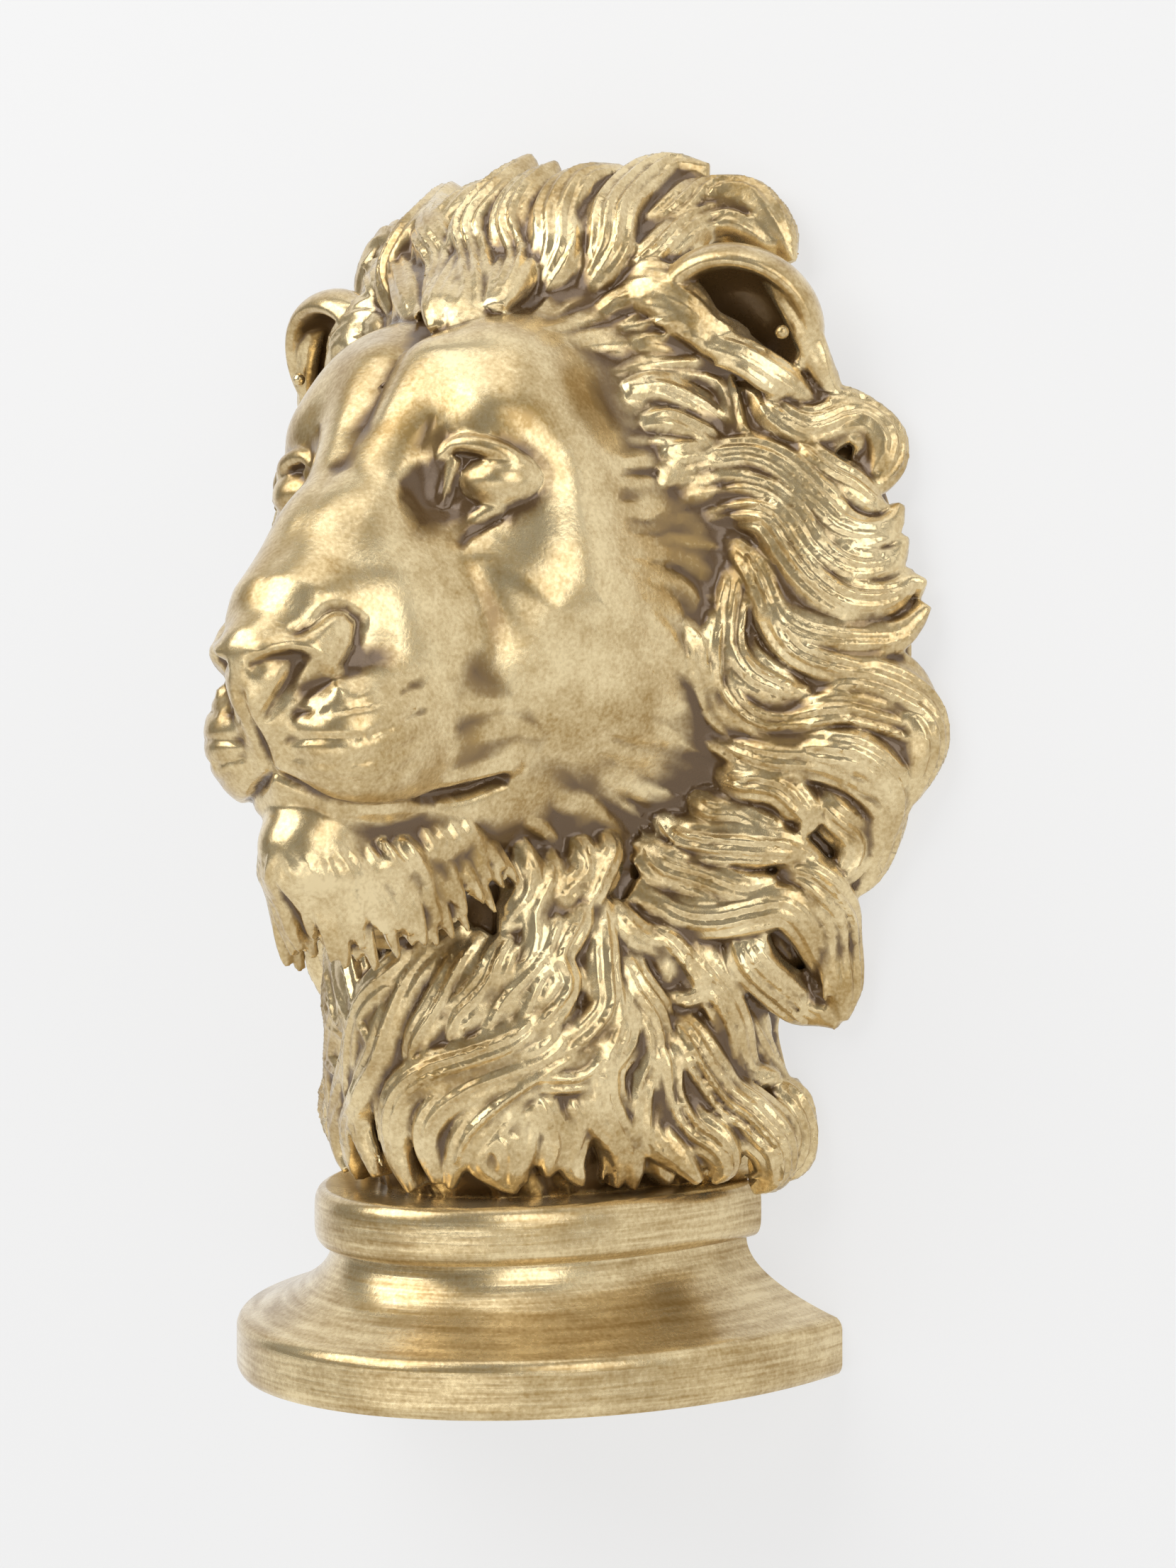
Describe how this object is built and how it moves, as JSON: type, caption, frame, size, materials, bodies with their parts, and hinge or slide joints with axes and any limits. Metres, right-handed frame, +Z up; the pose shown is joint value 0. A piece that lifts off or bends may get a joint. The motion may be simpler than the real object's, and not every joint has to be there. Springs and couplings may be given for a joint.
{
  "type": "lion head wall mask",
  "caption": "Lion head in a flowing mane on a moulded half-round plinth, cast in one piece with a flat back for a wall and finished in antique gold.",
  "frame": {"origin": "middle of the plinth's underside", "axes": "+Z up, +X towards the lion's left, -Y the way the lion looks, flat back towards +Y"},
  "size_m": [0.3518, 0.2269, 0.5055],
  "materials": {
    "antique_gold": "antique gold paint on cast resin, rubbed bright on the high places, umber patina in the hollows"
  },
  "bodies": {
    "root": {"lion_head_mask": "antique_gold"}
  },
  "joints": []
}
